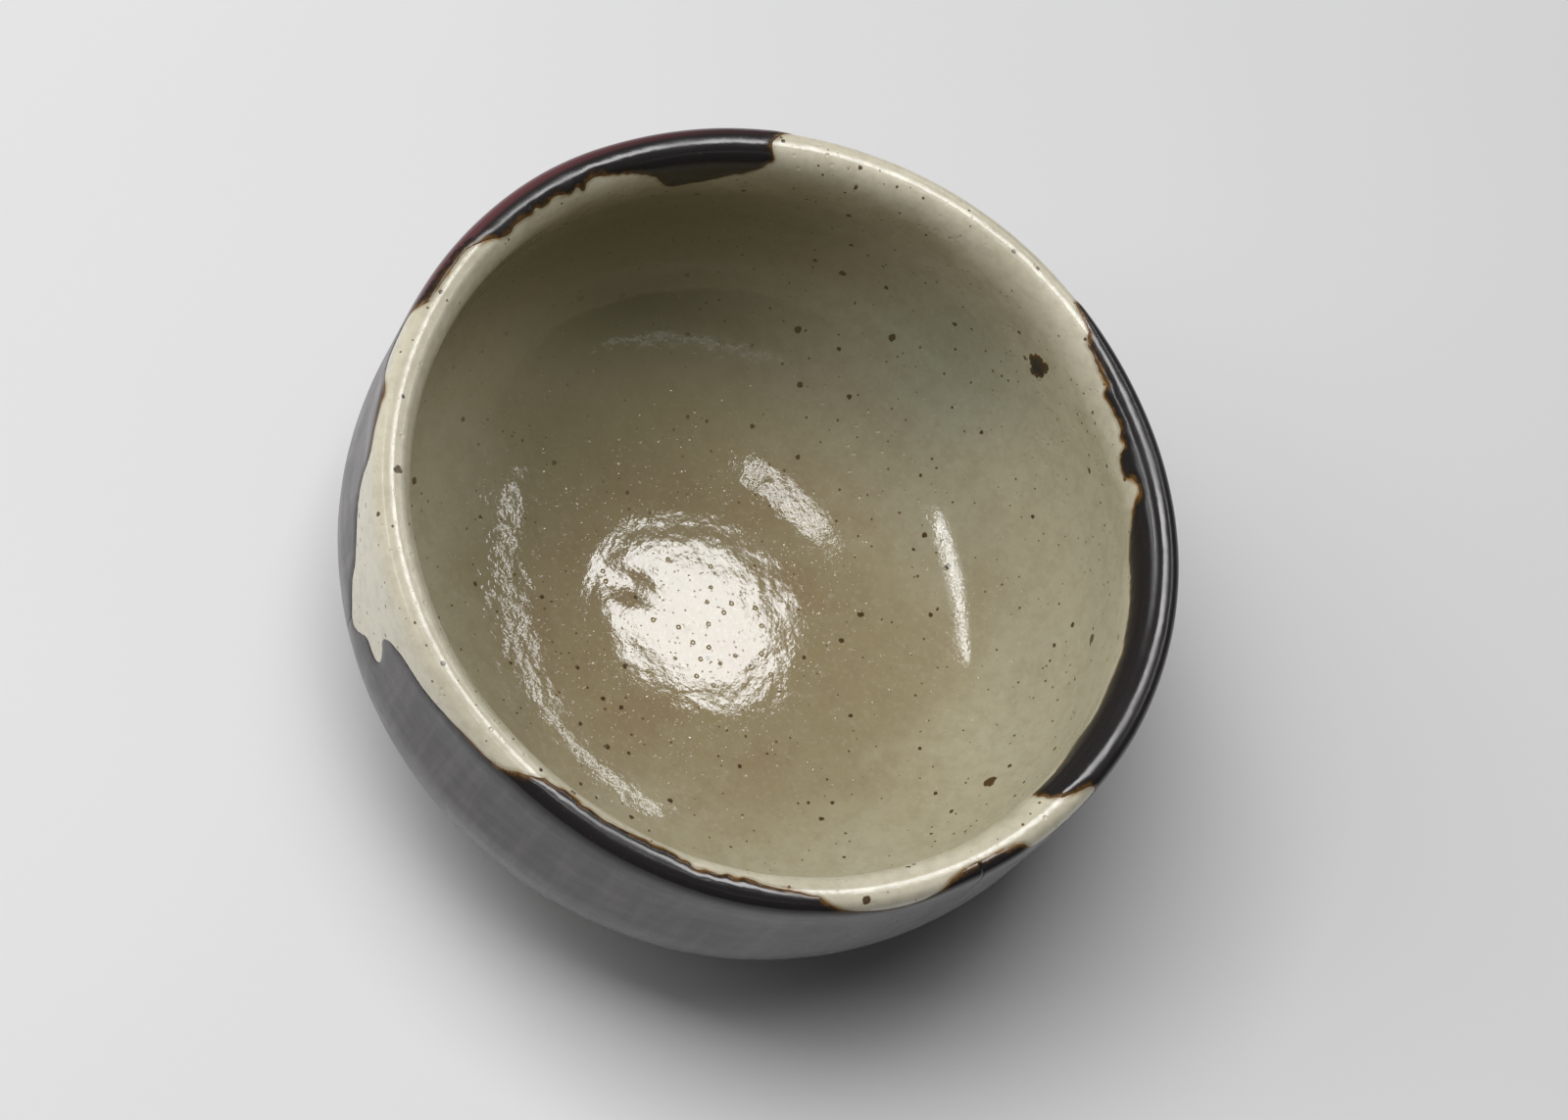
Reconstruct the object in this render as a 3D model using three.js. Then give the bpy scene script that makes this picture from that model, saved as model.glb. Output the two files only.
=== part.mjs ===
// A stoneware matcha bowl: a thrown clay body, a foot ring luted under it, one pale ash glaze over everything
// but the foot, three black dips over the outside and the lip, and one drop of black glaze inside.
// Millimetres and degrees. +Z is up the bowl's axis, and the foot stands on z = 0.
// Azimuth 0 is +X, and it grows towards +Y. A "way" is a length along the wall from the top of the lip:
// positive down the outside, negative down the inside.
import * as THREE from "three";

// The whole bowl
const outerRadius = 62; // glazed wall at its widest
const rimHeight = 66; // glazed lip above the foot's underside
const straightWall = 21; // lip to where the belly starts to turn in
const bellyReach = 42; // how far the belly's curve runs in towards the axis
const floorThickness = 7.5; // clay under the middle of the well

// The lip and the well
const lipThickness = 4.4; // clay at the lip
const undercut = 0.8; // the wall behind the lip stands back by this
const wellShoulder = 18; // lip to where the well starts to curve to the floor
const wellSquareness = 2.4; // exponent of the well's curve: 2 is an ellipse

// The foot
const footRadius = 26;
const footWall = 5;
const footHeight = 8;
const footFlare = 1; // the ring is this much narrower at its root than at the ground
const footChamfer = 0.8;
const nubRadius = 7; // the turned point left in the middle of the foot
const nubDrop = 1.2;

// The glazes
const ashThickness = 0.5;
const blackThickness = 0.5;
const layerGap = 0.3; // clearance between two layers, and between the foot ring and the body
const bareBand = 6; // bare clay between the foot and the ash glaze
const blackShort = 4; // the black dips stop this far outside the ash glaze's edge
const seamGap = 0.6; // degrees between two dips that meet
const splash = { azimuth: 72.5, way: -15, width: 3.2, height: 4.4, thickness: 0.5 };

// Where two dips meet below each pale window, in degrees
const seams = { back: 99, left: 232, right: 334 };
const seamWay = 24.5; // way down the outside where they meet
// Each dip's two edges, [way, first azimuth, last azimuth], from its tip inside to the seams outside
const dips = {
  black_dip_back: [
    [-9.6, 138, 142], [-7.5, 134.5, 145.5], [-4, 129, 149], [-2, 127.5, 172], [0.5, 127, 187],
    [2.6, 125, 207], [4.6, 120, 213], [9.5, 113, 216.5], [13, 109, 220], [17, 105, 226],
    [seamWay, seams.back, seams.left],
  ],
  black_dip_right: [
    [-7.3, -2, 37], [-5.6, -10, 41], [-3, -11.5, 58], [-1, -10.5, 69], [0.5, -7.5, 73],
    [3, -5, 76], [5.5, -8, 77], [8, -20, 80], [15, -24, 89], [seamWay, seams.right - 360, seams.back],
  ],
  black_dip_front: [
    [-1.6, 273, 293], [-0.6, 268, 303], [0.3, 266, 309], [1.2, 264.5, 311], [2.8, 261, 315],
    [5.7, 250.5, 325], [7.5, 244, 327], [10.4, 239.5, 330], [18, 238, 333], [seamWay, seams.left, seams.right],
  ],
};

// How the thrown bowl departs from a true round, [waves round the rim, size, azimuth of a crest]
const lipWaves = [[2, 0.6, 21.5], [3, 0.4, -18]];
const bodyWaves = [[4, 0.15, 43], [5, 0.15, 23.4]];

// Facets
const facetLength = 8.12; // longest facet round the bowl, so that a wider bowl has more of them
const bellyFacets = 9;
const wellFacets = 10;
const wallFacets = 4;
const lipFacets = 6; // an even number, so that one corner is the top
const nubFacets = 4;
const splashFacets = [14, 8]; // round the drop, and from its back to its top
const closestRows = 0.2; // least way between two rows of a dip

// Sizes that follow from those above
const roundFacets = Math.ceil((2 * Math.PI * outerRadius) / facetLength);
const columnDegrees = 360 / roundFacets; // the dips' widest facet
const outerBuild = 2 * layerGap + ashThickness + blackThickness;
const clayRadius = outerRadius - outerBuild;
const clayTop = rimHeight - outerBuild;
const lipHalf = lipThickness / 2;
const shoulderHeight = rimHeight - straightWall;
const wellTop = rimHeight - wellShoulder;
const wellRadius = clayRadius - lipThickness + undercut;
const wellFloor = footHeight + floorThickness;
const ashLine = footRadius + bareBand;
const blackLine = ashLine + blackShort;

const radians = THREE.MathUtils.degToRad;

// Height of the clay's underside at a radius: flat under the foot, then a quarter of an ellipse.
function undersideAt(radius) {
  const inward = Math.max(0, radius - (clayRadius - bellyReach)) / bellyReach;
  const fall = shoulderHeight - footHeight;
  return shoulderHeight - fall * Math.sqrt(Math.max(0, 1 - inward * inward));
}

// The belly's curve from the ash glaze's edge up to the straight wall.
function bellyCurve() {
  const start = Math.asin(Math.max(0, ashLine - (clayRadius - bellyReach)) / bellyReach);
  return Array.from({ length: bellyFacets + 1 }, (_, i) => {
    const turn = THREE.MathUtils.lerp(start, Math.PI / 2, i / bellyFacets);
    const r = clayRadius - bellyReach + bellyReach * Math.sin(turn);
    return new THREE.Vector2(r, undersideAt(r));
  });
}

// The lip, from the outside wall over the top to the inside wall: half a circle.
function lipCurve() {
  return Array.from({ length: lipFacets + 1 }, (_, i) => {
    const turn = (Math.PI * i) / lipFacets;
    return new THREE.Vector2(
      clayRadius - lipHalf + lipHalf * Math.cos(turn),
      clayTop - lipHalf + lipHalf * Math.sin(turn),
    );
  });
}

// The inside wall, which stands back behind the lip, and the well down to the middle of the floor.
function wellCurve() {
  const wall = Array.from({ length: wallFacets - 1 }, (_, i) => {
    const t = (i + 1) / wallFacets;
    const back = (undercut * (1 - Math.cos(Math.PI * t))) / 2;
    return new THREE.Vector2(
      clayRadius - lipThickness + back,
      THREE.MathUtils.lerp(clayTop - lipHalf, wellTop, t),
    );
  });
  const well = Array.from({ length: wellFacets + 1 }, (_, i) => {
    const turn = (Math.PI / 2) * (i / wellFacets);
    const power = 2 / wellSquareness;
    const r = i === wellFacets ? 0 : wellRadius * Math.cos(turn) ** power;
    return new THREE.Vector2(r, wellTop - (wellTop - wellFloor) * Math.sin(turn) ** power);
  });
  return [...wall, ...well];
}

// The clay's outline that carries glaze, from the ash glaze's edge to the middle of the well.
const meridian = [...bellyCurve(), ...lipCurve(), ...wellCurve()];

// The outward direction at each corner of the outline, straight up in the middle of the floor.
const normals = meridian.map((_, i) => {
  const before = meridian[Math.max(0, i - 1)];
  const after = meridian[Math.min(meridian.length - 1, i + 1)];
  const along = after.clone().sub(before).normalize();
  return new THREE.Vector2(along.y, -along.x);
});
normals[normals.length - 1].set(0, 1);

// The way of each corner of the outline, from the corner on top of the lip.
const lipIndex = bellyFacets + 1 + lipFacets / 2;
const lengths = meridian.map((point, i) => (i ? point.distanceTo(meridian[i - 1]) : 0));
const ways = meridian.map((_, i) => {
  const low = Math.min(i, lipIndex) + 1;
  const high = Math.max(i, lipIndex) + 1;
  const length = lengths.slice(low, high).reduce((sum, step) => sum + step, 0);
  return i < lipIndex ? length : -length;
});

// The outline moved outwards by a lift, as one point of it or as the whole line.
function lifted(i, lift) {
  return meridian[i].clone().addScaledVector(normals[i], lift);
}
function liftedLine(lift) {
  return meridian.map((_, i) => lifted(i, lift));
}

// The point at a way along the lifted outline.
function pointAt(way, lift) {
  const next = Math.min(meridian.length - 1, Math.max(1, ways.findIndex((w) => w <= way)));
  const t = (ways[next - 1] - way) / (ways[next - 1] - ways[next]);
  return lifted(next - 1, lift).lerp(lifted(next, lift), t);
}

// The way down the outside to a radius on the belly.
function wayToRadius(radius) {
  const next = meridian.findIndex((point) => point.x >= radius);
  const t = (radius - meridian[next - 1].x) / (meridian[next].x - meridian[next - 1].x);
  return THREE.MathUtils.lerp(ways[next - 1], ways[next], t);
}

// Sum of a list of waves at an azimuth in radians.
function waveAt(waves, azimuth) {
  return waves.reduce(
    (sum, [count, size, crest]) => sum + size * Math.cos(count * (azimuth - radians(crest))),
    0,
  );
}

// Every piece takes the thrown bowl's small departures from a true round: none at the foot, most at the lip.
function throwByHand(geometry) {
  const position = geometry.getAttribute("position");
  const point = new THREE.Vector3();
  for (let i = 0; i < position.count; i += 1) {
    point.fromBufferAttribute(position, i);
    const radius = Math.hypot(point.x, point.y);
    const azimuth = Math.atan2(point.y, point.x);
    const share = point.z / rimHeight;
    const stretch = radius > 0 ? 1 + (waveAt(bodyWaves, azimuth) * share) / outerRadius : 1;
    position.setXYZ(
      i,
      point.x * stretch,
      point.y * stretch,
      point.z + waveAt(lipWaves, azimuth) * share ** 3 * (radius / outerRadius) ** 2,
    );
  }
  return geometry;
}

// A profile turned about +Z.
function turned(profile) {
  return throwByHand(new THREE.LatheGeometry(profile, roundFacets).rotateX(Math.PI / 2));
}

// A closed shape laid on the wall. place() turns its x, y and z into azimuth, way and lift: the way grows
// as y falls, so that the shape isn't mirrored.
function laidOnWall(geometry, place) {
  const position = geometry.getAttribute("position");
  for (let i = 0; i < position.count; i += 1) {
    const { way, azimuth, lift } = place(position.getX(i), position.getY(i), position.getZ(i));
    const point = pointAt(way, lift);
    const angle = radians(azimuth);
    position.setXYZ(i, point.x * Math.cos(angle), point.x * Math.sin(angle), point.y);
  }
  return throwByHand(geometry);
}

// The underside's corners over the foot ring, which the ring's top follows.
const underFoot = [footRadius - footWall, footRadius - footWall / 2, footRadius - footFlare].map(
  (radius) => new THREE.Vector2(radius, undersideAt(radius)),
);

// The clay body: belly, lip and well in one thrown wall, with the turned point under the middle.
function clayBody() {
  const nub = Array.from({ length: nubFacets + 1 }, (_, i) => {
    const t = i / nubFacets;
    const drop = (nubDrop * (1 + Math.cos(Math.PI * t))) / 2;
    return new THREE.Vector2(nubRadius * t, undersideAt(nubRadius * t) - drop);
  });
  return turned([...nub, ...underFoot, ...meridian]);
}

// The foot ring: trimmed flat on the ground with its edges eased, its top a clearance under the body.
function footRing() {
  const inner = footRadius - footWall;
  const top = underFoot.map((point) => new THREE.Vector2(point.x, point.y - layerGap));
  const profile = [
    new THREE.Vector2(inner + footChamfer, 0),
    new THREE.Vector2(footRadius - footChamfer, 0),
    new THREE.Vector2(footRadius, footChamfer),
    ...top.toReversed(),
    new THREE.Vector2(inner, footChamfer),
  ];
  return turned([...profile, profile[0].clone()]);
}

// The ash glaze: one coat from its edge above the foot, over the lip, to the middle of the well.
function ashGlaze() {
  const face = liftedLine(layerGap + ashThickness);
  const back = liftedLine(layerGap);
  return turned([...back.toReversed(), ...face]);
}

// A dip's rows, [way, first azimuth, last azimuth]: one at each corner of the wall's outline, so that the coat
// follows the lip, and more where an edge runs sideways.
function dipRows(edges) {
  const [, seamFirst, seamLast] = edges.at(-1);
  const outline = [...edges, [Math.max(wayToRadius(blackLine), seamWay + 1), seamFirst, seamLast]];
  const rows = [outline[0]];
  outline.slice(1).forEach((end, i) => {
    const start = outline[i];
    const sideways = Math.max(Math.abs(end[1] - start[1]), Math.abs(end[2] - start[2]));
    const steps = Math.ceil(sideways / columnDegrees);
    const even = Array.from({ length: steps }, (_, k) => (k + 1) / steps);
    const corners = ways.map((way) => (way - start[0]) / (end[0] - start[0]));
    const between = [...even, ...corners].filter((t) => t > 0 && t < 1).sort((m, n) => m - n);
    for (const t of [...between, 1]) {
      const row = start.map((value, k) => THREE.MathUtils.lerp(value, end[k], t));
      if (t === 1 || row[0] - rows.at(-1)[0] > closestRows) rows.push(row);
    }
  });
  return rows;
}

// A black dip: a coat over the ash glaze between its two edges, down to the black glaze's edge.
function blackDip(edges) {
  const back = 2 * layerGap + ashThickness;
  const rows = dipRows(edges);
  const [, widestFirst, widestLast] = rows.at(-1);
  const columns = Math.ceil((widestLast - widestFirst) / columnDegrees);
  const box = new THREE.BoxGeometry(1, 1, 1, columns, rows.length - 1, 1);
  return laidOnWall(box, (x, y, z) => {
    const [way, first, last] = rows[Math.round((0.5 - y) * (rows.length - 1))];
    return {
      way,
      azimuth: THREE.MathUtils.lerp(first + seamGap / 2, last - seamGap / 2, 0.5 + x),
      lift: back + (z + 0.5) * blackThickness,
    };
  });
}

// The drop of black glaze that landed inside: a flat dome on the ash glaze.
function glazeSplash() {
  const back = 2 * layerGap + ashThickness;
  const ball = new THREE.SphereGeometry(1, ...splashFacets);
  return laidOnWall(ball, (x, y, z) => ({
    way: splash.way - (y * splash.height) / 2,
    azimuth: splash.azimuth + THREE.MathUtils.radToDeg((x * splash.width) / 2 / wellRadius),
    lift: back + ((z + 1) * splash.thickness) / 2,
  }));
}

// Finishes
const rawClay = { color: 0x8b7763, roughness: 0.9 };
const ashFinish = { color: 0xa9a188, roughness: 0.2 };
const blackFinish = { color: 0x1d1b1c, roughness: 0.15 };

function piece(name, geometry, finish) {
  const mesh = new THREE.Mesh(
    geometry,
    new THREE.MeshStandardMaterial({ ...finish, metalness: 0 }),
  );
  mesh.name = name;
  return mesh;
}

const bowl = new THREE.Group();
bowl.add(piece("clay_body", clayBody(), rawClay));
bowl.add(piece("foot_ring", footRing(), rawClay));
bowl.add(piece("ash_glaze", ashGlaze(), ashFinish));
for (const [name, edges] of Object.entries(dips)) {
  bowl.add(piece(name, blackDip(edges), blackFinish));
}
bowl.add(piece("glaze_splash", glazeSplash(), blackFinish));

export default bowl;
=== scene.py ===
"""A stoneware matcha bowl: thrown body, luted foot, pale ash glaze, three black dips and one splash.

Metres in the scene; the sections work in millimetres and convert when a mesh is made. Azimuth 0 is +X.
A "way" is a length along the wall from the top of the lip: positive outside, negative inside.
"""
import math

import bpy
import numpy as np
from mathutils import Matrix, Vector


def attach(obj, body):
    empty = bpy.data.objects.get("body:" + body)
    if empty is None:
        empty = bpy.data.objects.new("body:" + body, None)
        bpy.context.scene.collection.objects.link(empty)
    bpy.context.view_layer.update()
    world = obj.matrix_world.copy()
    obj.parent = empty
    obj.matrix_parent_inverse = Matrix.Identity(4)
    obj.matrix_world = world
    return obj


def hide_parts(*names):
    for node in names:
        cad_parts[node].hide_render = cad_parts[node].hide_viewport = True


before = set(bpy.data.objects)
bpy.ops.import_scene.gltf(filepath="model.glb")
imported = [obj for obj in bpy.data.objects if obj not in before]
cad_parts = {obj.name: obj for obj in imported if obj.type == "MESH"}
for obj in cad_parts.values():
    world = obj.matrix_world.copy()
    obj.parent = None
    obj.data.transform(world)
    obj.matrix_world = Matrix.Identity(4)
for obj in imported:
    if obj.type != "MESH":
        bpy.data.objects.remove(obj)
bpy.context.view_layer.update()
MM = 0.001


# ---------------------------------------------------------------------------------------------------------
# The thrown wall. Stoneware clay thrown on the wheel as one wall: lip, side, belly and well. Fingers leave
# rings inside, and the pull leaves it a little out of round. All the glazes lie on this surface.
LIP_HEIGHT = 65.5  # top of the pale glaze on the lip
SIDE_RADIUS = 61.55
SHOULDER_HEIGHT = 45.0  # the side is straight from here up
BELLY_REACH = 42.0
BODY_UNDERSIDE = 8.0
WELL_RADIUS = 56.0
WELL_TOP = 47.5
WELL_FLOOR = 16.3
WELL_SQUARENESS = 2.4
GLAZE_END = 32.0  # radius where the pale glaze stops, outside the foot
CLAY_LIFT = -0.5  # the clay lies this far under the glaze's face
LIP_POINTS = [  # radius and drop below the lip, from the inside wall over the ridge to the side
    (56.0, 13.0), (55.75, 10.0), (55.45, 7.4), (55.3, 5.4), (55.45, 3.7), (55.9, 2.2), (56.6, 1.1),
    (57.4, 0.4), (58.2, 0.08), (59.0, 0.0), (59.8, 0.06), (60.5, 0.32), (61.15, 1.0), (61.45, 2.2),
    (61.55, 4.5),
]
LIP_WAVES = [(2, 0.6, 21.5), (3, 0.4, -18.0)]  # waves round the rim, size, azimuth of a crest
BODY_WAVES = [(4, 0.15, 43.0), (5, 0.15, 23.4)]
RING_SPACING = 5.6  # between the finger rings inside
FINE_SPACING = 4.3  # between the fine rings outside
NOTCH_AZIMUTH = 194
GROOVE_AZIMUTH = 208
TURNS = 450  # columns round the bowl
OUTLINE_STEP = 0.05
LATTICE_CELLS = 48  # the random lattice behind the grain repeats after this many


def smooth_through(points, steps):
    """Catmull-Rom curve: between two points, the cubic whose end slopes are half the neighbours' chord."""
    p = np.array(points, float)
    p = np.vstack([2 * p[0] - p[1], p, 2 * p[-1] - p[-2]])
    t = np.linspace(0, 1, steps, endpoint=False)[None, :, None]
    a, b, c, d = (p[i:len(p) - 3 + i, None, :] for i in range(4))
    curve = 0.5 * (2 * b + (c - a) * t + (2 * a - 5 * b + 4 * c - d) * t**2 + (3 * b - a - 3 * c + d) * t**3)
    return np.vstack([curve.reshape(-1, p.shape[1]), p[-2]])


def underside(radius):
    """Height of the body's outside at a radius: a quarter ellipse, flat inside its inner end."""
    inward = np.clip((radius - (SIDE_RADIUS - BELLY_REACH)) / BELLY_REACH, 0, 1)
    return SHOULDER_HEIGHT - (SHOULDER_HEIGHT - BODY_UNDERSIDE) * np.sqrt(1 - inward**2)


def wall_outline():
    """(radius, height) from the middle of the well over the lip to the glaze's end, every OUTLINE_STEP."""
    turn = np.linspace(0, np.pi / 2, 400)[::-1]
    power = 2 / WELL_SQUARENESS
    well = np.stack([WELL_RADIUS * np.cos(turn)**power,
                     WELL_TOP - (WELL_TOP - WELL_FLOOR) * np.sin(turn)**power], -1)
    well[0, 0] = 0
    lip = smooth_through([(r, LIP_HEIGHT - drop) for r, drop in LIP_POINTS], 12)
    low = math.asin((GLAZE_END - 2 - SIDE_RADIUS + BELLY_REACH) / BELLY_REACH)
    turn = np.linspace(np.pi / 2, low, 300)
    radius = SIDE_RADIUS - BELLY_REACH * (1 - np.sin(turn))
    belly = np.stack([radius, underside(radius)], -1)
    line = np.vstack([well, lip, belly])
    length = np.r_[0, np.cumsum(np.hypot(*np.diff(line, axis=0).T))]
    keep = np.r_[True, np.diff(length) > 1e-6]
    even = np.arange(0, length[-1], OUTLINE_STEP)
    return np.stack([np.interp(even, length[keep], line[keep, k]) for k in (0, 1)], -1)


def smoothed(values, width):
    """Running mean over width steps, with the ends held."""
    padded = np.pad(values, width // 2, mode="edge")
    return np.convolve(padded, np.ones(width) / width, mode="valid")[:len(values)]


outline = wall_outline()
outline_way = np.arange(len(outline)) * OUTLINE_STEP
outline_way -= outline_way[np.argmax(outline[:, 1])]
tangent = np.gradient(outline, axis=0)
outward = np.stack([-tangent[:, 1], tangent[:, 0]], -1) / np.hypot(*tangent.T)[:, None]
outward = np.stack([smoothed(outward[:, k], 11) for k in (0, 1)], -1)
outward[:3] = (0, 1)


def way_outside(radius):
    """Way of the point on the belly at a radius."""
    belly = (outline_way > 0) & (outline[:, 1] < SHOULDER_HEIGHT)
    return float(np.interp(radius, outline[belly, 0][::-1], outline_way[belly][::-1]))


FLOOR_WAY = outline_way[0]
END_WAY = way_outside(GLAZE_END)

lattice = np.random.default_rng(11).uniform(-1, 1, (LATTICE_CELLS,) * 3)


def grain(points, size, seed=0):
    """Value noise in -1..1: random values on a cubic lattice of the given size, smoothly interpolated."""
    p = np.asarray(points) / size + 7.31 * seed
    cell = np.floor(p).astype(int)
    t = p - cell
    t = t * t * (3 - 2 * t)
    total = 0
    for corner in np.ndindex(2, 2, 2):
        weight = np.prod(np.where(corner, t, 1 - t), axis=-1)
        i, j, k = ((cell[..., n] + corner[n]) % LATTICE_CELLS for n in range(3))
        total = total + weight * lattice[i, j, k]
    return total


def waves(parts, azimuth):
    """Sum of cosines round the bowl."""
    return sum(size * np.cos(count * (azimuth - math.radians(crest))) for count, size, crest in parts)


def turned_axes(degrees):
    """Two level unit vectors: one at that azimuth, one a quarter turn on."""
    turn = math.radians(degrees)
    return np.array([math.cos(turn), math.sin(turn)]), np.array([-math.sin(turn), math.cos(turn)])


def hand_marks(azimuth, way, place):
    """Lift left by the hands: faint rings inside and out, slow lumps, a groove along the lip on the left,
    and a button and a tool's notch in the middle of the floor. Each is a cosine, a bell or value noise,
    times a fade."""
    inside = np.clip((-way - 6) / 6, 0, 1)
    outside = np.clip((way - 3) / 4, 0, 1)
    radius = np.hypot(place[..., 0], place[..., 1])
    patchy = 0.6 + 0.6 * grain(place, 19, 1)
    rings = 0.02 * patchy * np.cos(2 * np.pi * way / RING_SPACING - azimuth)
    rings = rings * inside * np.clip((radius - 6) / 8, 0, 1)
    button = 0.12 * np.exp(-(radius / 3)**2) - 0.06 * np.exp(-((radius - 7) / 4)**2)
    out, aside = (place[..., :2] @ axis for axis in turned_axes(NOTCH_AZIMUTH))
    notch = 0.3 * np.exp(-((out - 11) / 5)**2 - (aside / 2.7)**2)
    fine = 0.008 * np.cos(2 * np.pi * way / FINE_SPACING + azimuth) * outside * patchy
    lumps = 0.09 * grain(place, 14, 2) + 0.02 * grain(place, 5, 3)
    left = (0.5 + 0.5 * np.cos(azimuth - math.radians(GROOVE_AZIMUTH)))**6
    groove = left * (0.07 * np.exp(-((way + 2.1) / 0.5)**2) - 0.05 * np.exp(-((way + 1) / 0.45)**2))
    return rings + (button + notch) * (way < -40) + fine + lumps + groove


def wall(azimuth, way, lift=0.0, marks=True):
    """Points on the wall: the outline turned about Z, lifted along its normal, then thrown out of true."""
    azimuth, way = np.broadcast_arrays(azimuth, way)
    r, z, nr, nz = (np.interp(way, outline_way, column) for column in (*outline.T, *outward.T))
    turn = np.stack([np.cos(azimuth), np.sin(azimuth)], -1)
    place = np.concatenate([turn * r[..., None], z[..., None]], -1)
    up = lift + (hand_marks(azimuth, way, place) if marks else 0)
    r, z = r + nr * up, z + nz * up
    share = z / LIP_HEIGHT
    z = z + waves(LIP_WAVES, azimuth) * share**3 * (r / SIDE_RADIUS)**2
    r = r * (1 + waves(BODY_WAVES, azimuth) * share / SIDE_RADIUS)
    return np.concatenate([turn * r[..., None], z[..., None]], -1)


def make_piece(name, points, faces, **values):
    """A smooth mesh object from points in mm, quads or triangles, and named values at its points."""
    mesh = bpy.data.meshes.new(name)
    faces = [np.asarray(f, np.int32) for f in faces]
    mesh.vertices.add(len(points))
    mesh.vertices.foreach_set("co", (np.asarray(points) * MM).astype(np.float32).ravel())
    corners = np.concatenate([f.ravel() for f in faces])
    sizes = np.concatenate([np.full(len(f), f.shape[1]) for f in faces])
    mesh.loops.add(len(corners))
    mesh.loops.foreach_set("vertex_index", corners)
    mesh.polygons.add(len(sizes))
    mesh.polygons.foreach_set("loop_start", np.r_[0, np.cumsum(sizes)[:-1]].astype(np.int32))
    mesh.polygons.foreach_set("loop_total", sizes.astype(np.int32))
    mesh.polygons.foreach_set("use_smooth", np.ones(len(sizes), bool))
    mesh.update(calc_edges=True)
    mesh.validate()
    for key, value in values.items():
        mesh.attributes.new(key, "FLOAT", "POINT").data.foreach_set("value", value.astype(np.float32).ravel())
    piece = bpy.data.objects.new(name, mesh)
    bpy.context.scene.collection.objects.link(piece)
    return piece


def turned_faces(rows, turns, closed):
    """Quads of a turned grid whose first and last rows are single points on the axis, or, when closed, whose
    last row joins its first. Vertex 0 is the first point, the last vertex the last point."""
    column = np.arange(turns)
    beside = (column + 1) % turns
    if closed:
        row = np.arange(rows)[:, None]
        after = (row + 1) % rows
        return [np.stack([row * turns + column, row * turns + beside, after * turns + beside,
                          after * turns + column], -1).reshape(-1, 4)]
    row = 1 + np.arange(rows - 3)[:, None] * turns
    quads = np.stack([row + column, row + beside, row + turns + beside, row + turns + column], -1)
    last = 1 + (rows - 2) * turns
    fans = [np.stack([np.zeros_like(column), beside + 1, column + 1], -1),
            np.stack([np.full_like(column, last), last - turns + column, last - turns + beside], -1)]
    return [quads.reshape(-1, 4), *fans]


def turned_piece(name, rows, **values):
    """A turned solid from rows of points (rows, turns, 3) that start and end on the axis."""
    points = np.vstack([rows[0, :1], rows[1:-1].reshape(-1, 3), rows[-1, :1]])
    flat = {key: np.r_[v[0, 0], v[1:-1].ravel(), v[-1, 0]] for key, v in values.items()}
    return make_piece(name, points, turned_faces(len(rows), rows.shape[1], False), **flat)


azimuths = np.linspace(0, 2 * np.pi, TURNS, endpoint=False)[None, :]


# ---------------------------------------------------------------------------------------------------------
# The clay body. Dark, sandy iron-bearing stoneware, thrown, then turned upside down and trimmed: the tool
# leaves a spiral and a small point in the middle of the foot. Only its underside shows below the glazes.
NUB_RADIUS = 7.0
NUB_DROP = 1.2
SPIRAL_PITCH = 2.6


def body_rows():
    """Underside from the axis to the glaze's end, then the wall at the clay's depth to the well's middle."""
    radius = np.linspace(0, GLAZE_END - 0.5, 60)[:, None]
    spiral = 0.09 * np.cos(2 * np.pi * radius / SPIRAL_PITCH + azimuths) * np.clip(radius / 6, 0, 1)
    nub = NUB_DROP * 0.5 * (1 + np.cos(np.pi * np.clip(radius / NUB_RADIUS, 0, 1)))
    place = np.concatenate([radius[..., None] * np.stack([np.cos(azimuths), np.sin(azimuths)], -1),
                            np.zeros((len(radius), TURNS, 1))], -1)
    height = underside(radius) - CLAY_LIFT - nub + spiral + 0.1 * grain(place, 3, 4)
    place[..., 2] = np.minimum(height, underside(radius) - CLAY_LIFT + 0.1)
    ways = np.r_[np.linspace(END_WAY + 0.5, 6, 22), np.linspace(4, -4, 12), np.linspace(-8, FLOOR_WAY, 24)]
    return np.concatenate([place, wall(azimuths, ways[:, None], CLAY_LIFT)])


body = turned_piece("clay_body_trimmed", body_rows())


def new_material(name):
    """A material's node tree, its shader and the Object coordinates."""
    material = bpy.data.materials.new(name)
    material.use_nodes = True
    tree = material.node_tree
    shader = tree.nodes["Principled BSDF"]
    coords = tree.nodes.new("ShaderNodeTexCoord").outputs["Object"]
    return material, tree, shader, coords


def node(tree, kind, out=0, **sockets):
    """A new node with sockets (by name, or by index as _0) and properties set or linked; gives one output."""
    made = tree.nodes.new("ShaderNode" + kind)
    for key, value in sockets.items():
        if key.startswith("_"):
            socket = made.inputs[int(key[1:])]
        elif key in made.inputs:
            socket = made.inputs[key]
        else:
            setattr(made, key, value)
            continue
        if isinstance(value, bpy.types.NodeSocket):
            tree.links.new(value, socket)
        else:
            socket.default_value = value
    return made.outputs[out]


def math_node(tree, operation, a, b=0.0, clamp=False):
    return node(tree, "Math", operation=operation, use_clamp=clamp, _0=a, _1=b)


def spread(tree, value, low, high, to_low=0.0, to_high=1.0):
    """Value from low..high to to_low..to_high, eased and held at the ends."""
    return node(tree, "MapRange", interpolation_type="SMOOTHSTEP", Value=value,
                **{"From Min": low, "From Max": high, "To Min": to_low, "To Max": to_high})


def blend(tree, share, a, b):
    """Colour a mixed towards b by a share."""
    return node(tree, "Mix", out=2, data_type="RGBA", _0=share,
                _6=a if isinstance(a, bpy.types.NodeSocket) else (*a, 1),
                _7=b if isinstance(b, bpy.types.NodeSocket) else (*b, 1))


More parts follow.
